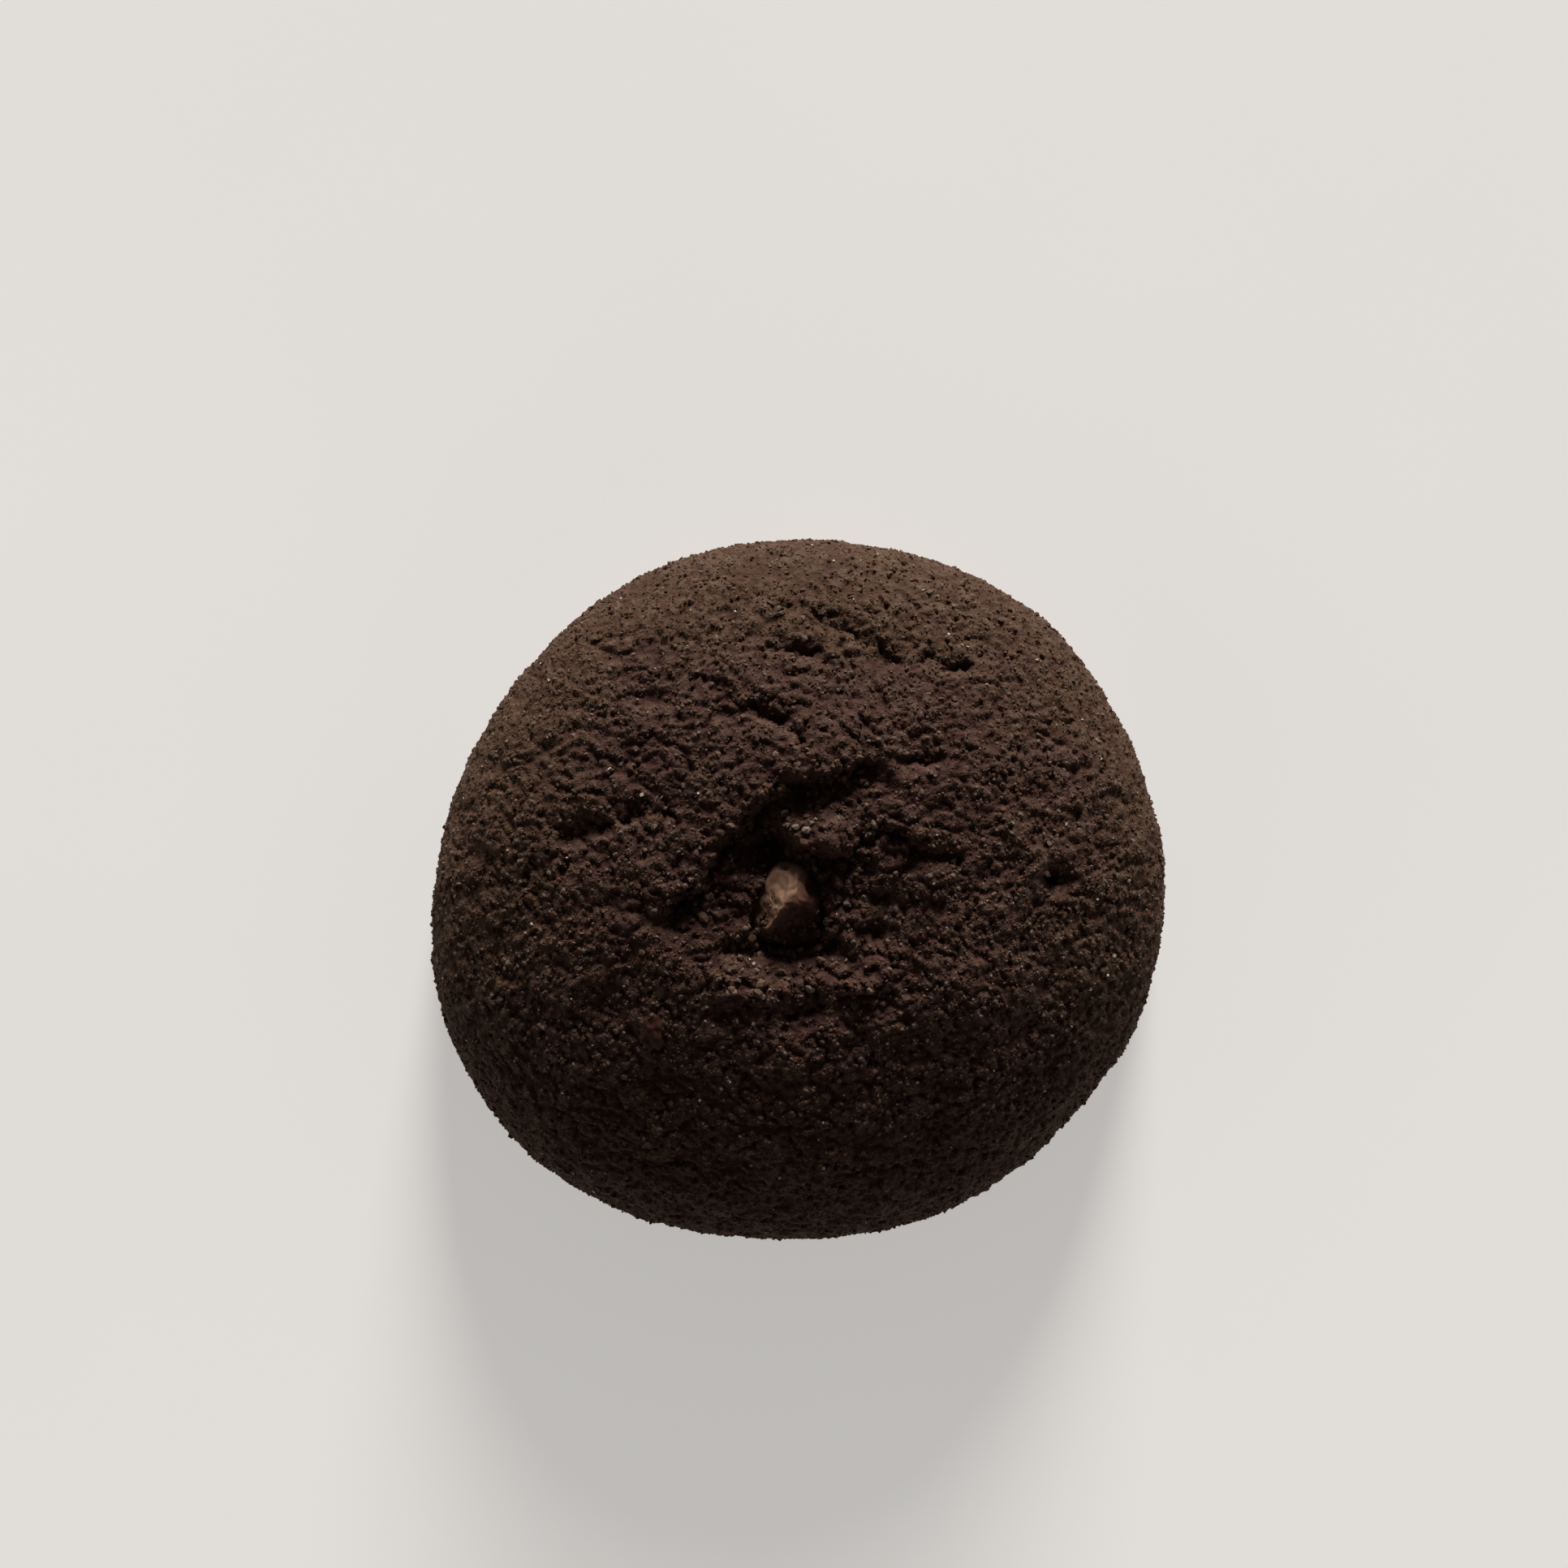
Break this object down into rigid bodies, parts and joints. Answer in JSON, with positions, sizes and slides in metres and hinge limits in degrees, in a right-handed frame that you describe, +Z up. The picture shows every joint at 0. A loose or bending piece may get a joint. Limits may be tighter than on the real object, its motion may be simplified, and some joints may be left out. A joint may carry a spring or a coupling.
{
  "type": "chocolate cookie",
  "caption": "Thick round chocolate cookie with a cracked, crumbly dome and a chunk of milk chocolate sunk in the crater at its middle.",
  "frame": {"origin": "under the middle of the cookie's outline, on its flat underside", "axes": "+Z up through the crown, +X along the longer way across, +Y towards the side on which the long crack opens"},
  "size_m": [0.0751, 0.073, 0.0174],
  "materials": {
    "dough": "baked dark chocolate dough, dry and sandy, with fine pale crumbs and dark pits",
    "chocolate": "milk chocolate, soft waxy sheen, slightly bloomed"
  },
  "bodies": {
    "root": {"cookie": "dough", "chocolate_chunk": "chocolate"}
  },
  "joints": []
}
